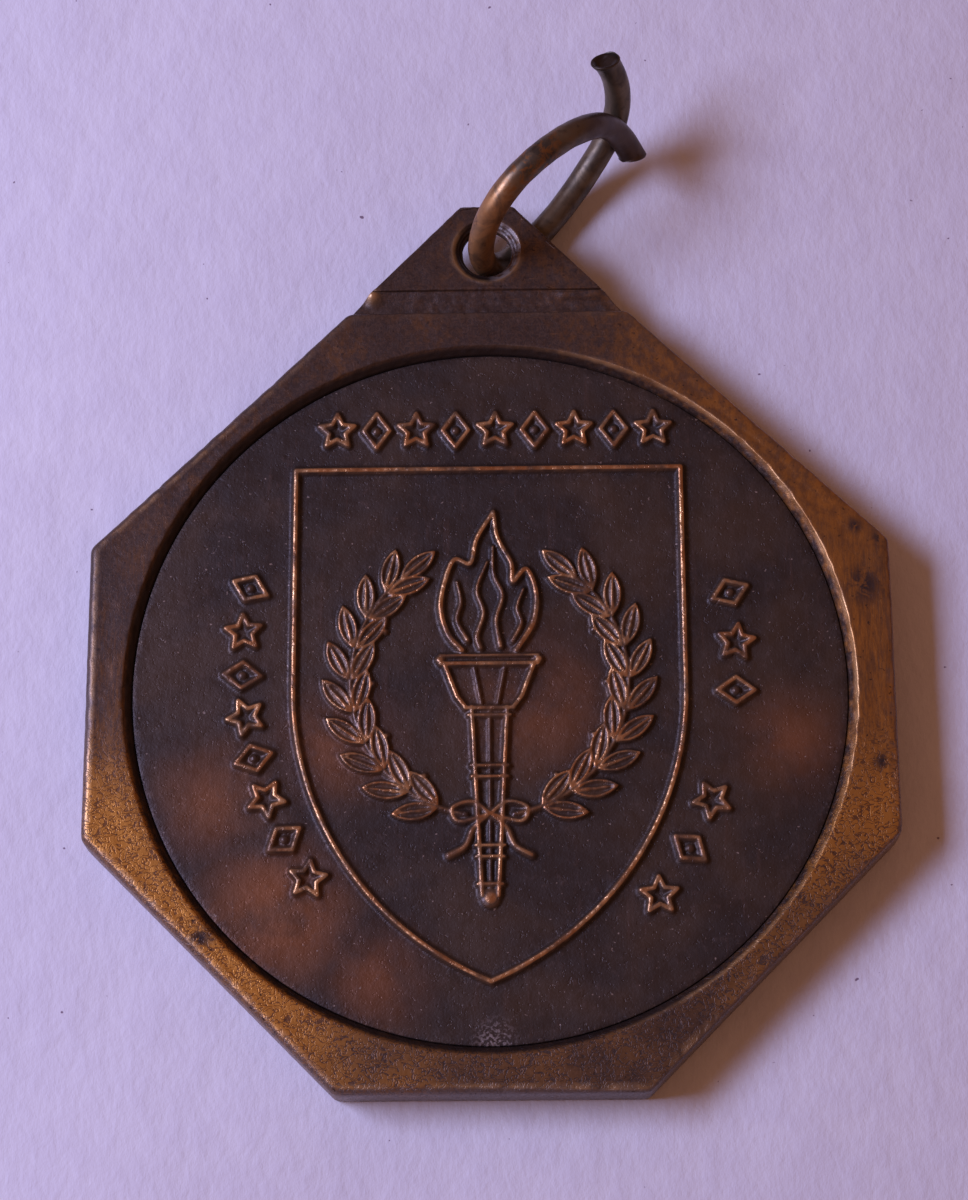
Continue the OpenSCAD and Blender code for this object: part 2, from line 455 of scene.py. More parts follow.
def octagon_frame(material):
    """Plate and ear joined into one shell."""
    piece = make_piece("medal_frame", *plate_mesh(), "octagon_frame", "medal", "frame_bronze",
                       material)
    ear = bpy.data.meshes.new("ear")
    points, faces = ear_mesh()
    ear.from_pydata((points * MM).tolist(), [], faces)
    ear_piece = bpy.data.objects.new("ear", ear)
    bpy.context.scene.collection.objects.link(ear_piece)
    union = piece.modifiers.new("union", "BOOLEAN")
    union.operation = "UNION"
    union.solver = "EXACT"
    union.object = ear_piece
    graph = bpy.context.evaluated_depsgraph_get()
    joined = bpy.data.meshes.new_from_object(piece.evaluated_get(graph))
    piece.modifiers.clear()
    piece.data = joined
    bpy.data.objects.remove(ear_piece)
    joined.shade_smooth()
    mark_frame(piece)
    return piece


def mark_frame(piece):
    """Attributes that say where the frame is rubbed, dirty or shows metal, and where shade and
    highlights are painted on it.
    """
    co = points_mm(piece)
    theta = np.arctan2(co[:, 1], co[:, 0])
    radius = np.hypot(co[:, 0], co[:, 1])
    on_plate = co[:, 1] < HALF + 0.02
    to_top = np.abs(co[:, 2] - PLATE_TOP)
    inner = np.hypot(radius - OPENING_RADIUS, to_top * 0.6)
    # Side of the pocket facing the window: it paints a highlight on the inner rim and painted
    # shade on the far side of the pocket wall.
    lit = smooth((np.cos(theta - radians(8)) - 0.1) / 0.7)
    from_edge = octagon_radius(theta) - radius
    outer = np.hypot(from_edge - edge_size(theta) - 0.05, to_top)
    knocked = 0.05 + 0.3 * smooth((0.4 - np.cos(theta - radians(38))) / 0.8)
    # Rubbed outer edge, knocked most at the lower left; on the inner rim the brightening follows
    # lit and is a painted highlight.
    wear_and_highlight = np.maximum(knocked * np.exp(-(outer / 0.08) ** 2),
                      (0.03 + 0.97 * lit) * np.exp(-(inner / 0.09) ** 2)) * on_plate
    from_hole = np.hypot(co[:, 0], co[:, 1] - HOLE_Y)
    lip = np.exp(-((from_hole - SINK_RADIUS) / 0.13) ** 2) * (co[:, 2] > EAR_FACE - 0.2)
    blob = np.exp(-np.sum((co[:, :2] - CASTING_BLOB) ** 2, axis=1) / 0.14)
    wear_and_highlight = np.maximum(wear_and_highlight, np.maximum(0.4 * lip, 0.6 * blob * (co[:, 2] > 2.8)))
    groove = (co[:, 1] > HALF) * (co[:, 2] < EAR_FACE - 0.1)
    groove = groove * smooth((HALF + 0.6 - co[:, 1]) / 0.4)
    right = smooth((co[:, 0] + 0.1) / 0.9)
    sink = (from_hole < SINK_RADIUS + 0.02) & (co[:, 1] > HALF)
    wall = (radius < OPENING_RADIUS) & (co[:, 2] > SEAT_Z)
    shade = 1.0 - 0.85 * lit
    wall = wall * smooth((PLATE_TOP - 0.05 - co[:, 2]) / 0.15)
    # Darker down the pocket wall, most at its foot, and in the groove under the ear: painted
    # shade, with some dirt in the groove.
    low_wall = wall * smooth((PLATE_TOP - 0.2 - co[:, 2]) / 0.15)
    grime_and_shade = np.maximum(groove * 0.6, np.maximum(wall * 0.4, low_wall * 0.95))
    # Painted shade on the pocket wall facing away from the window and on the left side of the
    # countersink.
    add_attribute(piece, "shade", np.maximum(wall * shade, sink * (1 - right)) * 0.85)
    # Pale flecks: dust in the groove, and on the window side of the pocket wall a painted
    # highlight.
    add_attribute(piece, "dust", np.maximum(groove * 0.3, wall * (1 - shade) * 0.6))
    side = (from_edge < edge_size(theta) + 0.06) * smooth((PLATE_TOP + 0.04 - co[:, 2]) / 0.08)
    shown = 0.25 + 0.75 * smooth((0.3 - np.sin(theta)) / 0.4)
    add_attribute(piece, "side", side * shown * on_plate)
    add_attribute(piece, "wear_and_highlight", wear_and_highlight)
    add_attribute(piece, "grime_and_shade", grime_and_shade)
    # Metal showing in the countersink, only on its right side facing the window: partly real,
    # partly a painted highlight.
    add_attribute(piece, "bare_metal_and_highlight", sink * right * smooth((from_hole - 1.55) / 0.2))


# ---------------------------------------------------------------- disc

class Relief:
    """Raised work over a set of places: its height, and the gap to its nearest edge."""

    def __init__(self, places):
        self.places = places
        self.height = np.zeros(len(places))
        self.gap = np.full(len(places), 9.0)

    def near(self, points, margin):
        low, high = np.min(points, 0) - margin, np.max(points, 0) + margin
        inside = np.all((self.places > low) & (self.places < high), axis=1)
        return np.nonzero(inside)[0]

    def raise_to(self, index, height, gap):
        self.height[index] = np.maximum(self.height[index], height)
        self.gap[index] = np.minimum(self.gap[index], gap)

    def stroke(self, line, width, height=1.0, tail=None, closed=False):
        """A rounded ridge along a line; tail is its width at the far end."""
        line = np.array(line, float)
        if closed:
            line = np.vstack([line, line[:1]])
        tail = width if tail is None else tail
        lengths = np.hypot(*np.diff(line, axis=0).T)
        run = np.concatenate([[0], np.cumsum(lengths)])
        for k, (a, b) in enumerate(zip(line, line[1:])):
            index = self.near([a, b], width + 0.6)
            if not len(index):
                continue
            off = self.places[index] - a
            t = np.clip(off @ (b - a) / max(lengths[k] ** 2, 1e-9), 0, 1)
            away = np.hypot(*(off - t[:, None] * (b - a)).T)
            share = (run[k] + t * lengths[k]) / run[-1]
            half = (width + (tail - width) * share) / 2
            rise = smooth((half + FLANK - away) / (FLANK + half * 0.75))
            self.raise_to(index, height * rise, away - half)

    def pellet(self, centre, radius, height=1.0):
        index = self.near([centre], radius + 0.6)
        away = np.hypot(*(self.places[index] - centre).T)
        dome = np.sqrt(np.clip(1 - (away / (radius + 0.06)) ** 2, 0, 1))
        self.raise_to(index, height * dome, away - radius)

    def leaf(self, base, lean, length, width):
        """A leaf with a raised edge and midrib, growing from its base."""
        radius = (length ** 2 + width ** 2) / (4 * width)
        way = np.array([cos(radians(lean)), sin(radians(lean))])
        tip = np.array(base) + way * length
        index = self.near([base, tip], width)
        off = self.places[index] - (np.array(base) + way * length / 2)
        along = off @ way
        across = off @ np.array([-way[1], way[0]])
        side = np.hypot(along, np.abs(across) + radius - width / 2)
        depth = radius - side
        edge = smooth((depth + FLANK) / (FLANK + 0.06)) * (1 - 0.5 * smooth((depth - 0.1) / 0.16))
        rib_half = 0.1 * (1 - along / length)
        on_rib = smooth((rib_half + 0.1 - np.abs(across)) / 0.14) * (depth > 0)
        veins = 0.03 * np.sin((along + np.abs(across) * 0.9) * 17) * (depth > 0.12)
        self.raise_to(index, np.maximum(edge + veins, 0.95 * on_rib), -depth)


def shield_line(inset):
    """Closed outline of the shield at an inset from its outer edge."""
    half = SHIELD_HALF - inset
    reach = SIDE_ARC - SHIELD_HALF
    arc = SIDE_ARC - inset
    low = pi / 2 - np.arccos(reach / arc)
    turns = np.linspace(0, pi / 2 - low, 28)
    right = [(arc * cos(t) - reach, -arc * sin(t)) for t in turns]
    left = [(-x, y) for x, y in reversed(right[:-1])]
    return [(-half, SHIELD_TOP - inset), (half, SHIELD_TOP - inset)] + right + left


def star(centre, radius, spin):
    return [tuple(np.add(centre, turned((0, radius if i % 2 == 0 else radius * STAR_WAIST),
                                        spin - i * 36))) for i in range(10)]


def ornament(relief, index, centre, spin):
    """Stars and lozenges take turns along a row."""
    if index % 2 == 0:
        relief.stroke(star(centre, ORNAMENT - 0.26, spin), 0.46, 1.0, closed=True)
    else:
        tall = ORNAMENT - 0.26
        wide = tall * LOZENGE_RATIO
        line = [tuple(np.add(centre, turned(p, spin))) for p in
                ((0, tall), (wide, 0), (0, -tall), (-wide, 0))]
        relief.stroke(line, 0.48, 0.95, closed=True)
        relief.pellet(centre, 0.24, 0.8)


def side_row(relief, angles, mirror):
    for i, angle in enumerate(angles):
        radius = 15.1 + 1.2 * ((angle - 192) / 36) ** 2
        x, y = turned((radius, 0), angle)
        ornament(relief, i + 1, (mirror * x, y), mirror * (angle - 90))


def branch(relief, mirror):
    """One laurel branch; mirror is 1 for the right one and -1 for the left one."""
    span = WREATH_END - WREATH_START

    def at(angle, radius):
        x, y = turned((radius, 0), angle)
        return (mirror * x, y + WREATH_Y)

    def lean(degrees):
        return degrees if mirror > 0 else 180 - degrees

    for i in range(LEAF_PAIRS):
        angle = WREATH_START + (i + 0.4) * span / LEAF_PAIRS
        for side in (-1, 1):
            relief.leaf(at(angle, WREATH_RADIUS + 0.1 * side), lean(angle + 90 - side * LEAF_LEAN),
                        LEAF_LENGTH, LEAF_WIDTH)
        if i % 2 == 1:
            relief.pellet(at(angle - 1.5, WREATH_RADIUS + 1.35), 0.24, 0.9)
            relief.pellet(at(angle - 1.5, WREATH_RADIUS - 1.35), 0.2, 0.9)
    relief.leaf(at(WREATH_END, WREATH_RADIUS), lean(WREATH_END + 90), LEAF_LENGTH, LEAF_WIDTH)
    stem = [at(a, WREATH_RADIUS) for a in np.linspace(WREATH_START - 6, WREATH_END, 36)]
    relief.stroke(stem, 0.42, 0.85, tail=0.24)


def bow(relief):
    """The tie where the two branches cross below the torch."""
    y = WREATH_Y - WREATH_RADIUS * cos(radians(90 + WREATH_START)) - 0.15
    for mirror in (1, -1):
        tail = [(0, y), (1.0 * mirror, y - 0.9), (1.5 * mirror, y - 2.0), (2.5 * mirror, y - 2.6)]
        loop = [(0, y), (1.1 * mirror, y + 0.75), (2.3 * mirror, y + 0.35),
                (2.0 * mirror, y - 0.45), (0.9 * mirror, y - 0.3), (0, y)]
        relief.stroke(curve(tail), 0.42, 0.9, tail=0.6)
        relief.stroke(curve(loop), 0.4, 0.95)


def torch(relief):
    """An outlined torch: fluted handle with bands, ribbed bowl, three-tongued flame."""
    foot, neck = -13.0, -1.2

    def half(y):
        return 0.5 + 0.6 * (y - foot) / (neck - foot)

    for mirror in (1, -1):
        relief.stroke([(mirror * half(foot), foot), (mirror * half(neck), neck)], 0.42)
        relief.stroke([(mirror * 1.45, -1.25), (mirror * 2.0, -0.5), (mirror * 2.75, 1.5)], 0.46)
        relief.stroke([(mirror * 0.5, -1.0), (mirror * 0.95, 1.4)], 0.2, 0.7)
    relief.stroke([(0, foot + 0.5), (0, neck - 0.3)], 0.2, 0.7)
    relief.pellet((0, foot - 0.15), 0.62, 1.0)
    for y in (foot + 0.7, -10.6, -9.9, -5.6, -4.9, neck - 0.5):
        relief.stroke([(-half(y) - 0.22, y), (half(y) + 0.22, y)], 0.3, 1.0)
    relief.stroke([(-1.5, neck - 0.05), (1.5, neck - 0.05)], 0.4)
    relief.stroke([(-3.0, 1.6), (3.0, 1.6)], 0.42)
    relief.stroke([(-3.05, 2.12), (3.05, 2.12)], 0.26, 0.9)
    relief.pellet((-3.05, 1.85), 0.3)
    relief.pellet((3.05, 1.85), 0.3)
    outer = [(0.3, 11.5), (-0.75, 9.7), (-1.15, 8.1), (-2.15, 8.35), (-2.75, 6.9), (-3.0, 5.2),
             (-2.55, 3.5), (-1.7, 2.45)]
    inner = [(0.3, 11.5), (0.55, 9.8), (1.4, 8.1), (1.5, 6.9), (2.35, 7.7), (2.95, 6.1),
             (2.75, 4.2), (1.7, 2.45)]
    relief.stroke(curve(outer), 0.42, 1.0, tail=0.56)
    relief.stroke(curve(inner), 0.42, 1.0, tail=0.56)
    tongues = (
        [(-0.1, 8.2), (-0.75, 6.4), (-0.35, 4.9), (-0.75, 3.4), (-0.55, 2.6)],
        [(0.25, 9.2), (0.3, 7.4), (0.85, 6.0), (0.45, 4.4), (0.7, 2.7)],
        [(-2.0, 6.9), (-1.75, 5.6), (-2.0, 4.4), (-1.35, 3.1)],
        [(2.15, 6.4), (1.75, 5.2), (2.0, 4.2), (1.45, 3.0)],
    )
    for tongue in tongues:
        relief.stroke(curve(tongue), 0.2, 0.9, tail=0.46)


def strike(places):
    """All the raised work of the disc, over the given places."""
    relief = Relief(places)
    relief.stroke(shield_line(BORDER / 2), 0.5, 1.0, closed=True)
    for i in range(ROW_COUNT):
        ornament(relief, i, (ROW_SHIFT + (i - (ROW_COUNT - 1) / 2) * ROW_PITCH, ROW_Y), 0)
    side_row(relief, SIDE_LEFT, 1)
    side_row(relief, SIDE_RIGHT, -1)
    torch(relief)
    branch(relief, 1)
    branch(relief, -1)
    bow(relief)
    return relief


def disc_grid():
    """A square grid over the disc, three times finer where there is raised work."""
    block = 3 * FINE_SQUARE
    count = 2 * ceil((DISC_RADIUS + block) / block)
    start = -count * block / 2
    centres = start + block * (np.arange(count) + 0.5)
    bx, by = np.meshgrid(centres, centres, indexing="ij")
    kept = np.hypot(bx, by) < DISC_RADIUS - 0.35 * block
    gap = strike(np.column_stack([bx.ravel(), by.ravel()])).gap.reshape(bx.shape)
    is_fine = kept & (gap < RELIEF_MARGIN)
    side = 3 * count + 1
    number = np.full((side, side), -1)
    used = np.zeros((side, side), bool)
    for i, j in np.argwhere(kept):
        step = 1 if is_fine[i, j] else 3
        used[3 * i:3 * i + 4:step, 3 * j:3 * j + 4:step] = True
    number[used] = np.arange(used.sum())
    at = np.argwhere(used)
    places = start + FINE_SQUARE * at
    faces = []
    rim = set()
    for i, j in np.argwhere(kept):
        u, v = 3 * i, 3 * j
        if is_fine[i, j]:
            n = number[u:u + 4, v:v + 4]
            quads = np.stack([n[:-1, :-1], n[1:, :-1], n[1:, 1:], n[:-1, 1:]], -1)
            faces += quads.reshape(-1, 4).tolist()
            continue
        ring = [(u + k, v) for k in range(3)] + [(u + 3, v + k) for k in range(3)]
        ring += [(u + 3 - k, v + 3) for k in range(3)] + [(u, v + 3 - k) for k in range(3)]
        faces.append([int(number[p]) for p in ring if number[p] >= 0])
        for di, dj, a, b in ((-1, 0, (u, v), (u, v + 3)), (1, 0, (u + 3, v), (u + 3, v + 3)),
                             (0, -1, (u, v), (u + 3, v)), (0, 1, (u, v + 3), (u + 3, v + 3))):
            if not kept[i + di, j + dj]:
                rim.update((int(number[a]), int(number[b])))
    return places, faces, sorted(rim)


def disc_mesh():
    """Struck top face, rounded lip and wall; also the relief and the count of plain points."""
    places, faces, rim = disc_grid()
    rim = np.array(rim)
    rim = rim[np.argsort(np.arctan2(places[rim, 1], places[rim, 0]))]
    places[rim] *= ((DISC_RADIUS - DISC_LIP) / np.hypot(*places[rim].T))[:, None]
    relief = strike(places)
    worn = 0.06 * (1 + ripple(places, 2.7, 91)) + 0.045 * (1 + ripple(places, 0.6, 92))
    height = RELIEF * relief.height * (1 - np.clip(worn, 0, 0.25) * relief.height)
    field = 0.012 * ripple(places, 7.0, 93) + 0.006 * ripple(places, 1.1, 94)
    calm = smooth((DISC_RADIUS - np.hypot(*places.T)) / 0.6) * (1 - np.clip(relief.height, 0, 1))
    z = FIELD_Z + np.minimum(height, RELIEF - 0.002) + field * calm
    top = np.column_stack([places, z])
    way = places[rim] / np.hypot(*places[rim].T)[:, None]
    loops = []
    for radius, level in ((DISC_RADIUS - 0.02, FIELD_Z - 0.02), (DISC_RADIUS, FIELD_Z - DISC_LIP),
                          (DISC_RADIUS, SEAT_Z)):
        loops.append(np.column_stack([way * radius, np.full(len(rim), level)]))
    count = len(rim)
    numbers = [rim] + [len(top) + k * count + np.arange(count) for k in range(3)]
    for upper, lower in zip(numbers, numbers[1:]):
        faces += np.stack([upper, lower, np.roll(lower, -1), np.roll(upper, -1)], 1).tolist()
    faces.append(numbers[-1][::-1].tolist())
    points = np.vstack([top] + loops)
    extra = len(points) - len(top)
    return points, faces, relief, extra


def centre_disc(material):
    points, faces, relief, extra = disc_mesh()
    piece = make_piece("medal_disc", points, faces, "centre_disc", "medal", "disc_bronze",
                       material)
    still = np.zeros(extra)
    add_attribute(piece, "raised", np.concatenate([relief.height, still]))
    # Darker round the foot of the raised work, towards the pocket wall and all over the disc's
    # side: painted shade, with some dirt round the raised work.
    grime_and_shade = np.exp(-np.clip(relief.gap, 0, None) / 0.3) * (1 - np.clip(relief.height * 2, 0, 1))
    from_wall = DISC_RADIUS - np.hypot(points[:len(grime_and_shade), 0], points[:len(grime_and_shade), 1])
    grime_and_shade = np.maximum(grime_and_shade, 0.9 * np.exp(-from_wall / 0.35))
    add_attribute(piece, "grime_and_shade", np.concatenate([grime_and_shade, still + 1]))
    return piece


# ---------------------------------------------------------------- ring

def limb(arcs, at, axes):
    """Places along arcs joined end to end, as (point, axes without the bends' own turns)."""
    turned_by = 0
    places = []
    for radius, angle, roll in arcs:
        axes = axes @ Matrix.Rotation(radians(roll), 3, "Z")
        turned_by += roll
        steps = ceil(angle / BEND_STEP)
        for k in range(1, steps + 1):
            a = radians(angle * k / steps)
            point = at + axes @ Vector((radius * (1 - cos(a)), 0, radius * sin(a)))
            here = axes @ Matrix.Rotation(a, 3, "Y")
            places.append((point, here @ Matrix.Rotation(radians(-turned_by), 3, "Z")))
        at = point
        axes = here
    return places


def wire_end(place, side, slope):
    """Loops that close the wire: a slanting cut with a slight burr, then a shallow dimple."""
    point, axes = place
    along = axes @ Vector((0, 0, 1))
    out = []
    for share, depth in CUT_PROFILE:
        loop = wire_loop((point + along * depth, axes), side, share)
        slant = (loop - np.array(point)) @ np.array(slope)
        out.append(loop + np.outer(slant * min(1, 0.4 + depth * 4), along))
    return out


def wire_loop(place, side, share=1.0):
    """A loop of points round the wire; side is -1 on the rear limb, whose axes point back."""
    point, axes = place
    out = []
    for j in range(WIRE_SIDES):
        t = 2 * pi * j / WIRE_SIDES
        offset = axes @ Vector((side * cos(t), sin(t), 0)) * WIRE_RADIUS * share
        out.append(tuple(point + offset))
    return np.array(out)


def ring_mesh():
    """The wire from its rear end to its front end, with how far along it each point lies."""
    axes = Matrix.Rotation(radians(WIRE_LEAN[0]), 3, "X")
    axes = axes @ Matrix.Rotation(radians(WIRE_LEAN[1]), 3, "Y")
    start = Vector(WIRE_START)
    rear = limb(REAR_LIMB, start, axes @ Matrix.Rotation(pi, 3, "Y"))
    front = limb(FRONT_LIMB, start, axes)
    back_end, front_end = ((point - turn @ CUT_BACK, turn) for point, turn in
                           (rear[-1], front[-1]))
    body = [wire_loop(back_end, -1)] + [wire_loop(p, -1) for p in reversed(rear[:-1])]
    body += [wire_loop((start, axes), 1)] + [wire_loop(p, 1) for p in front[:-1]]
    body += [wire_loop(front_end, 1)]
    middles = np.array([loop.mean(0) for loop in body])
    run = np.concatenate([[0], np.cumsum(np.linalg.norm(np.diff(middles, axis=0), axis=1))])
    for k, loop in enumerate(body):
        away = loop - middles[k]
        dents = 0.010 * (1 + ripple(loop, 1.6, 101)) + 0.005 * (1 + ripple(loop, 0.5, 102))
        body[k] = loop - away * (dents / WIRE_RADIUS)[:, None]
    loops = wire_end(back_end, -1, REAR_SLANT)[::-1] + body
    loops += wire_end(front_end, 1, FRONT_SLANT)
    points, faces = skin(loops)
    first = len(CUT_PROFILE)
    along = np.concatenate([np.full(first, 0), run, np.full(first, run[-1])])
    start_run = run[len(rear)]
    return points, faces, np.repeat(along - start_run, WIRE_SIDES)


def jump_ring(material):
    points, faces, along = ring_mesh()
    piece = make_piece("jump_ring_wire", points, faces, "jump_ring", "ring", "ring_wire", material)
    add_attribute(piece, "along", along)
    cut = np.zeros(len(points))
    ends = (len(CUT_PROFILE) - 2) * WIRE_SIDES
    cut[:ends] = 1
    cut[-ends:] = 1
    add_attribute(piece, "cut", cut)
    return piece


# ---------------------------------------------------------------- materials

def srgb(red, green, blue):
    """A colour given in 8-bit display values."""
    return [((v / 255 + 0.055) / 1.055) ** 2.4 for v in (red, green, blue)] + [1.0]


class Graph:
    """Builds one procedural material in millimetres of the object's own space."""

    def __init__(self, name):
        self.material = bpy.data.materials.new(name)
        self.material.use_nodes = True
        self.tree = self.material.node_tree
        self.tree.nodes.clear()
        coordinates = self.add("ShaderNodeTexCoord")
        self.place = self.math_vector("SCALE", coordinates.outputs["Object"], scale=1 / MM)
        self.xyz = self.add("ShaderNodeSeparateXYZ", {0: self.place})

    def add(self, kind, inputs=None, **settings):
        node = self.tree.nodes.new(kind)
        for key, value in settings.items():
            setattr(node, key, value)
        for key, value in (inputs or {}).items():
            if isinstance(value, bpy.types.NodeSocket):
                self.tree.links.new(value, node.inputs[key])
            else:
                node.inputs[key].default_value = value
        return node

    def math_vector(self, operation, vector, other=None, scale=None):
        inputs = {0: vector}
        if other is not None:
            inputs[1] = other
        if scale is not None:
            inputs["Scale"] = scale
        return self.add("ShaderNodeVectorMath", inputs, operation=operation).outputs[0]

    def math(self, operation, a, b=0.0):
        return self.add("ShaderNodeMath", {0: a, 1: b}, operation=operation).outputs[0]

    def attribute(self, name):
        return self.add("ShaderNodeAttribute", attribute_name=name).outputs["Fac"]

    def noise(self, size, detail=3.0, rough=0.55, stretch=(1, 1, 1), warp=0.0, seed=0.0):
        """Noise whose features are about size millimetres, longer along a small stretch."""
        place = self.math_vector("MULTIPLY", self.place, stretch)
        place = self.math_vector("ADD", place, (seed * 37.0, seed * 11.0, seed * 5.0))
        node = self.add("ShaderNodeTexNoise", {"Vector": place, "Scale": 1 / size,
                                               "Detail": detail, "Roughness": rough,
                                               "Distortion": warp})
        return node.outputs["Fac"]

    def band(self, value, low, high, start=0.0, end=1.0):
        """Value taken smoothly from low..high to start..end."""
        node = self.add("ShaderNodeMapRange", {"Value": value, "From Min": low, "From Max": high,
                                               "To Min": start, "To Max": end},
                        interpolation_type="SMOOTHSTEP")
        return node.outputs["Result"]

    def blob(self, centre, radius, soft):
        """1 inside a soft ball round a place, 0 outside."""
        away = self.math_vector("SUBTRACT", self.place, centre)
        length = self.add("ShaderNodeVectorMath", {0: away}, operation="LENGTH").outputs["Value"]
        return self.band(length, radius - soft, radius + soft, 1.0, 0.0)

    def mix(self, share, a, b):
        node = self.add("ShaderNodeMix", {0: share, 6: a, 7: b}, data_type="RGBA")
        return node.outputs[2]

    def tint(self, colour, share, tone, amount=1.0):
        """Colour mixed towards a tone by a share, at most by an amount."""
        if amount != 1.0:
            share = self.math("MULTIPLY", share, amount)
        return self.mix(share, colour, tone)

    def finish(self, colour, roughness, metallic, heights, **fixed):
        """Principled shader; heights are (value, millimetres high) pairs for the bump."""
        normal = None
        for value, depth in heights:
            inputs = {"Height": value, "Distance": depth * MM, "Strength": 1.0}
            if normal is not None:
                inputs["Normal"] = normal
            normal = self.add("ShaderNodeBump", inputs).outputs["Normal"]
        inputs = {"Base Color": colour, "Roughness": roughness, "Metallic": metallic,
                  "Normal": normal}
        shader = self.add("ShaderNodeBsdfPrincipled", inputs)
        for key, value in fixed.items():
            shader.inputs[key.replace("_", " ")].default_value = value
        self.add("ShaderNodeOutputMaterial", {"Surface": shader.outputs[0]})
        return self.material


def frame_material():
    """Antique bronze: dark at the upper left, rubbed golden at the right and lower left."""
    g = Graph("frame_bronze_worn")
    x, y = g.xyz.outputs[:2]
    lower_left = g.math("MULTIPLY", g.band(x, 2, -20), g.band(y, 4, -16))
    right = g.math("MULTIPLY", g.band(x, 2, 20), g.band(y, -24, -4))
    gold = g.math("ADD", lower_left, g.math("MULTIPLY", right, 0.72))
    gold = g.math("ADD", gold, g.band(g.noise(6.0, 2.0), 0.3, 0.7, -0.16, 0.16))
    curls = g.noise(0.46, 1.5, 0.5, warp=1.4)
    curls = g.math("ABSOLUTE", g.math("SUBTRACT", curls, 0.5))
    fleck = g.noise(0.40, 3.0, 0.6, warp=2.2)
    mottle = g.math("ADD", g.math("MULTIPLY", g.band(curls, 0.0, 0.07), 0.5),
                    g.math("MULTIPLY", fleck, 0.5))
    brushed = g.noise(0.15, 4.0, 0.7, stretch=(1.0, 0.13, 1.0), warp=0.15)
    cross = g.noise(0.16, 3.0, 0.6, stretch=(0.06, 1.0, 1.0), seed=3)
    peel = g.band(y, 0, -9)
    rubbed = g.noise(0.22, 4.0, 0.65, stretch=(0.45, 0.30, 1.0), seed=21)
    grain = g.mix(peel, g.mix(g.band(y, 6, 14), brushed, rubbed), mottle)
    spread = g.band(grain, 0.30, 0.70, -0.12, 0.12)
    dark = g.mix(g.band(fleck, 0.35, 0.7), srgb(62, 48, 40), srgb(84, 64, 50))
    scored = g.math("MULTIPLY", g.band(cross, 0.62, 0.74), g.band(x, -4, 10, 0.15, 0.6))
    dark = g.mix(scored, dark, srgb(134, 96, 62))
    warm = g.mix(g.band(grain, 0.36, 0.64), g.mix(peel, srgb(142, 92, 42), srgb(128, 80, 34)),
                 g.mix(peel, srgb(176, 118, 52), srgb(200, 138, 58)))
    share = g.band(g.math("ADD", gold, spread), -0.10, 1.10)
    colour = g.mix(share, dark, warm)
    side = g.attribute("side")
    colour = g.mix(g.math("MULTIPLY", side, g.band(fleck, 0.3, 0.7, 0.55, 0.85)), colour,
                   srgb(108, 96, 90))
    stain = g.blob((23.3, 6.4, 3.4), 0.9, 0.9)
    for centre, size in (((24.4, 9.4, 3.4), 0.45), ((24.0, -5.0, 3.4), 0.5),
                         ((22.9, 10.2, 3.4), 0.4), ((-17.5, -15.5, 3.4), 0.7)):
        stain = g.math("MAXIMUM", stain, g.blob(centre, size, size))
    blot = g.band(g.noise(0.9, 4.0, 0.6, seed=5, warp=0.8), 0.40, 0.54)
    colour = g.mix(g.math("MULTIPLY", stain, blot), colour, srgb(58, 48, 46))
    specks = g.band(g.noise(0.30, 2.0, 0.5, seed=7), 0.66, 0.72)
    colour = g.tint(colour, specks, srgb(50, 36, 30), 0.75)
    # Darker in the groove and down the pocket wall: painted shade, with some dirt in the groove.
    grime_and_shade = g.math("MULTIPLY", g.attribute("grime_and_shade"), g.band(g.noise(0.8, 3.0, seed=8), 0.3, 0.6))
    colour = g.mix(grime_and_shade, colour, srgb(58, 46, 40))
    # Pale flecks: dust in the groove, and on the window side of the pocket wall a painted
    # highlight.
    dust = g.math("MULTIPLY", g.attribute("dust"), g.band(g.noise(0.25, 3.0, seed=9), 0.5, 0.66))
    colour = g.tint(colour, dust, srgb(146, 128, 108), 0.45)
    colour = g.mix(g.attribute("shade"), colour, srgb(36, 28, 25))
    # Golden rubbed edges; on the inner rim the same colour is a painted highlight on the side
    # facing the window.
    wear_and_highlight = g.math("MULTIPLY", g.attribute("wear_and_highlight"), g.band(g.noise(1.6, 3.0, seed=11), 0.3, 0.65))
    colour = g.mix(wear_and_highlight, colour, srgb(236, 190, 128))
    # Metal rings in the countersink, only on the side facing the window: partly a painted
    # highlight.
    rings = g.math("MULTIPLY", g.attribute("bare_metal_and_highlight"), g.band(g.noise(0.5, 2.0, seed=12), 0.4, 0.6))
    colour = g.tint(colour, rings, srgb(140, 132, 124), 0.7)
    roughness = g.math("SUBTRACT", g.band(grain, 0.3, 0.7, 0.50, 0.38),
                       g.math("MULTIPLY", wear_and_highlight, 0.14))
    heights = [(g.math("MULTIPLY", mottle, g.band(peel, 0.0, 1.0, 0.25, 1.0)), 0.026),
               (brushed, 0.007), (cross, 0.005)]
    metallic = g.band(g.math("ADD", share, wear_and_highlight), 0.0, 1.0, 0.45, 0.7)
    return g.finish(colour, roughness, metallic, heights)


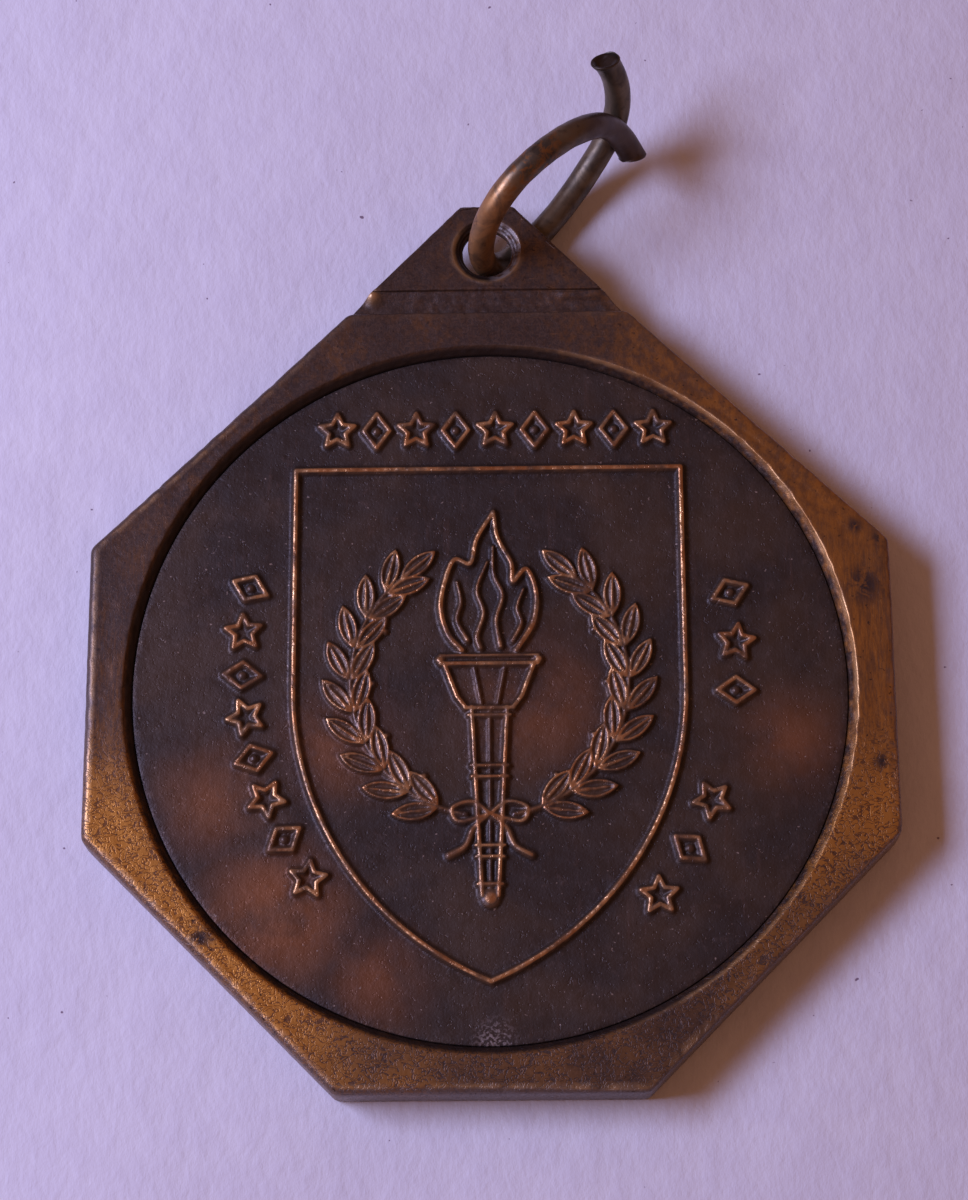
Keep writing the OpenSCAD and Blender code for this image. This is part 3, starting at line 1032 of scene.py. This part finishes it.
def disc_material():
    """Dark purple-brown patina with warm blooms, its raised work rubbed to copper."""
    g = Graph("disc_bronze_patina")
    clouds = g.noise(7.0, 3.0, 0.5, warp=0.4, seed=2)
    fine = g.noise(0.5, 4.0, 0.6, seed=4)
    colour = g.mix(g.band(clouds, 0.35, 0.65), srgb(56, 46, 39), srgb(74, 58, 44))
    bloom = g.blob((-13.0, -14.0, 2.9), 3.4, 3.4)
    for centre, size in (((-17.0, -7.0, 2.9), 2.4), ((-9.3, -3.5, 2.9), 2.4),
                         ((18.6, -3.5, 2.9), 2.2), ((3.0, -1.0, 2.9), 3.0),
                         ((-7.0, -18.0, 2.9), 2.2)):
        bloom = g.math("MAXIMUM", bloom, g.math("MULTIPLY", g.blob(centre, size, size * 1.3), 0.7))
    patchy = g.band(g.noise(3.4, 3.0, 0.55, seed=6), 0.2, 0.6, 0.25, 1.0)
    bloom = g.math("MULTIPLY", bloom, patchy)
    colour = g.tint(colour, bloom, srgb(146, 90, 48), 0.85)
    colour = g.mix(g.band(fine, 0.55, 0.75, 0.0, 0.3), colour, srgb(98, 80, 70))
    streak = g.noise(0.4, 3.0, 0.6, stretch=(1.0, 0.08, 1.0), seed=9)
    colour = g.mix(g.band(streak, 0.58, 0.75, 0.0, 0.3), colour, srgb(92, 70, 58))
    # Darker round the raised work and towards the edge: painted shade, with some dirt round the
    # raised work.
    grime_and_shade = g.math("MULTIPLY", g.attribute("grime_and_shade"), g.band(g.noise(0.5, 3.0, seed=8), 0.25, 0.6))
    colour = g.tint(colour, grime_and_shade, srgb(38, 32, 32), 0.7)
    sand = g.noise(0.2, 2.0, 0.6, seed=10)
    dust = g.math("MULTIPLY", g.attribute("grime_and_shade"), g.band(sand, 0.60, 0.70))
    colour = g.tint(colour, dust, srgb(128, 110, 94), 0.35)
    specks = g.band(g.noise(0.26, 2.0, 0.5, seed=12), 0.71, 0.76)
    colour = g.tint(colour, specks, srgb(160, 142, 126), 0.7)
    residue = g.math("MULTIPLY", g.blob((0.2, -21.7, 2.9), 0.9, 0.9), g.band(sand, 0.45, 0.6))
    colour = g.tint(colour, residue, srgb(176, 164, 156), 0.6)
    raised = g.attribute("raised")
    bulk = g.mix(g.band(g.noise(1.2, 3.0, seed=13), 0.35, 0.65), srgb(72, 56, 46),
                 srgb(104, 78, 56))
    colour = g.mix(g.band(raised, 0.15, 0.75, 0.0, 0.85), colour, bulk)
    rub = g.band(g.noise(1.6, 4.0, 0.65, seed=14), 0.32, 0.64, 0.1, 0.9)
    rub = g.math("MULTIPLY", g.band(raised, 0.78, 0.98), rub)
    copper = g.mix(g.band(g.noise(2.5, 2.0, seed=15), 0.4, 0.6), srgb(190, 134, 84),
                   srgb(222, 172, 116))
    colour = g.mix(rub, colour, copper)
    roughness = g.math("SUBTRACT", g.band(g.noise(1.2, 3.0, seed=17), 0.3, 0.7, 0.40, 0.54),
                       g.band(raised, 0.2, 0.9, 0.0, 0.12))
    pits = g.band(g.noise(0.28, 2.0, 0.5, seed=19), 0.62, 0.72, 1.0, 0.0)
    heights = [(fine, 0.028), (g.noise(0.16, 3.0, 0.6, seed=21), 0.018), (pits, 0.018),
               (streak, 0.008)]
    heights.append((g.math("MULTIPLY", sand, g.attribute("grime_and_shade")), 0.035))
    metallic = g.band(rub, 0.0, 1.0, 0.45, 0.85)
    return g.finish(colour, roughness, metallic, heights)


def ring_material():
    """Dull dark wire with copper showing where it has rubbed; near the hole the copper is partly a
    painted highlight.
    """
    g = Graph("ring_wire_dull")
    along = g.attribute("along")
    cloud = g.noise(1.8, 4.0, 0.6, warp=0.7)
    streak = g.noise(0.5, 3.0, 0.6, stretch=(0.5, 0.5, 0.5), seed=3)
    colour = g.mix(g.band(cloud, 0.35, 0.65), srgb(76, 68, 56), srgb(112, 98, 76))
    # Copper near the hole: partly rubbed metal, partly a painted highlight.
    near_hole_rub_and_highlight = g.math("MULTIPLY", g.band(along, -1.5, 1.0), g.band(along, 8.5, 5.0))
    rub = g.math("MULTIPLY", near_hole_rub_and_highlight, g.band(cloud, 0.36, 0.6, 0.35, 0.9))
    colour = g.mix(rub, colour, srgb(186, 136, 82))
    middle = g.math("MULTIPLY", g.band(along, 5.0, 7.0), g.band(along, 12.5, 9.5))
    scuff = g.band(g.noise(0.7, 4.0, 0.7, seed=5, warp=0.6), 0.46, 0.60)
    orange = g.math("MULTIPLY", middle, scuff)
    colour = g.tint(colour, orange, srgb(142, 94, 46), 0.75)
    front = g.band(along, 11.0, 14.5)
    colour = g.tint(colour, front, srgb(74, 60, 56), 0.7)
    cut = g.attribute("cut")
    colour = g.tint(colour, cut, srgb(52, 42, 36), 0.85)
    dark = g.band(g.noise(0.6, 3.0, seed=7), 0.6, 0.75)
    colour = g.tint(colour, dark, srgb(56, 46, 40), 0.5)
    roughness = g.band(streak, 0.3, 0.7, 0.34, 0.48)
    return g.finish(colour, roughness, 0.75, [(cloud, 0.02), (streak, 0.012)])


def paper_material():
    g = Graph("pale_paper")
    cloud = g.noise(40.0, 2.0)
    fibre = g.noise(1.4, 4.0, 0.65, stretch=(1, 0.6, 1), seed=1)
    colour = g.mix(g.band(cloud, 0.3, 0.7), srgb(228, 226, 228), srgb(234, 232, 232))
    colour = g.mix(g.band(fibre, 0.3, 0.7, 0.0, 0.4), colour, srgb(218, 214, 220))
    specks = g.band(g.noise(0.55, 1.0, 0.4, seed=4), 0.80, 0.83)
    colour = g.mix(specks, colour, srgb(140, 122, 134))
    wave = g.noise(16.0, 2.0, seed=6)
    return g.finish(colour, 0.85, 0.0, [(wave, 0.6), (fibre, 0.13)], Specular_IOR_Level=0.2)


# ---------------------------------------------------------------- studio

ROOM_COLOUR = (1.0, 0.46, 0.30, 1.0)
ROOM_STRENGTH = 0.23
WINDOW_COLOUR = (0.50, 0.53, 0.96)
WINDOW_SIZE = (0.17, 0.10)
WINDOW_POWER = 1.05
WINDOW_REACH = 0.3
WINDOW_ELEVATION = 43
WINDOW_AZIMUTH = 174
FLOOR_HALF = 0.8
FLOOR_LEVEL = -0.02 * MM
CAMERA_LENS = 90
CAMERA_PLACE = (2.89, -50.0, 181.35)
CAMERA_AIM = (-0.30, 5.59, 3.4)
CAMERA_ROLL = -3.744


def studio():
    """Paper floor, the room's even light and one window."""
    mesh = bpy.data.meshes.new("paper_floor")
    corners = [(x * FLOOR_HALF, y * FLOOR_HALF, FLOOR_LEVEL)
               for x, y in ((-1, -1), (1, -1), (1, 1), (-1, 1))]
    mesh.from_pydata(corners, [], [(0, 1, 2, 3)])
    mesh.materials.append(paper_material())
    floor = bpy.data.objects.new("paper_floor", mesh)
    bpy.context.scene.collection.objects.link(floor)

    world = bpy.data.worlds.new("studio")
    world.use_nodes = True
    background = world.node_tree.nodes["Background"]
    background.inputs["Color"].default_value = ROOM_COLOUR
    background.inputs["Strength"].default_value = ROOM_STRENGTH
    bpy.context.scene.world = world

    key = bpy.data.lights.new("window", "AREA")
    key.shape = "RECTANGLE"
    key.size, key.size_y = WINDOW_SIZE
    key.energy = WINDOW_POWER
    key.color = WINDOW_COLOUR
    lamp = bpy.data.objects.new("window", key)
    elevation, azimuth = radians(WINDOW_ELEVATION), radians(WINDOW_AZIMUTH)
    way = Vector((cos(elevation) * cos(azimuth), cos(elevation) * sin(azimuth), sin(elevation)))
    lamp.location = WINDOW_REACH * way
    lamp.rotation_euler = (-Vector(lamp.location)).to_track_quat("-Z", "Y").to_euler()
    bpy.context.scene.collection.objects.link(lamp)


def camera():
    """The photograph's viewpoint: nearly overhead, a little towards the foot of the medal."""
    data = bpy.data.cameras.new("camera")
    data.lens = CAMERA_LENS
    data.sensor_width = 36
    data.clip_start = 0.01
    eye = bpy.data.objects.new("camera", data)
    place = Vector(CAMERA_PLACE) * MM
    aim = Vector(CAMERA_AIM) * MM
    roll = Matrix.Rotation(radians(CAMERA_ROLL), 4, "Z")
    eye.matrix_world = (Matrix.Translation(place)
                        @ (aim - place).to_track_quat("-Z", "Y").to_matrix().to_4x4() @ roll)
    bpy.context.scene.collection.objects.link(eye)
    bpy.context.scene.camera = eye


bpy.context.scene.view_settings.view_transform = "Standard"
camera()
studio()
octagon_frame(frame_material())
centre_disc(disc_material())
jump_ring(ring_material())
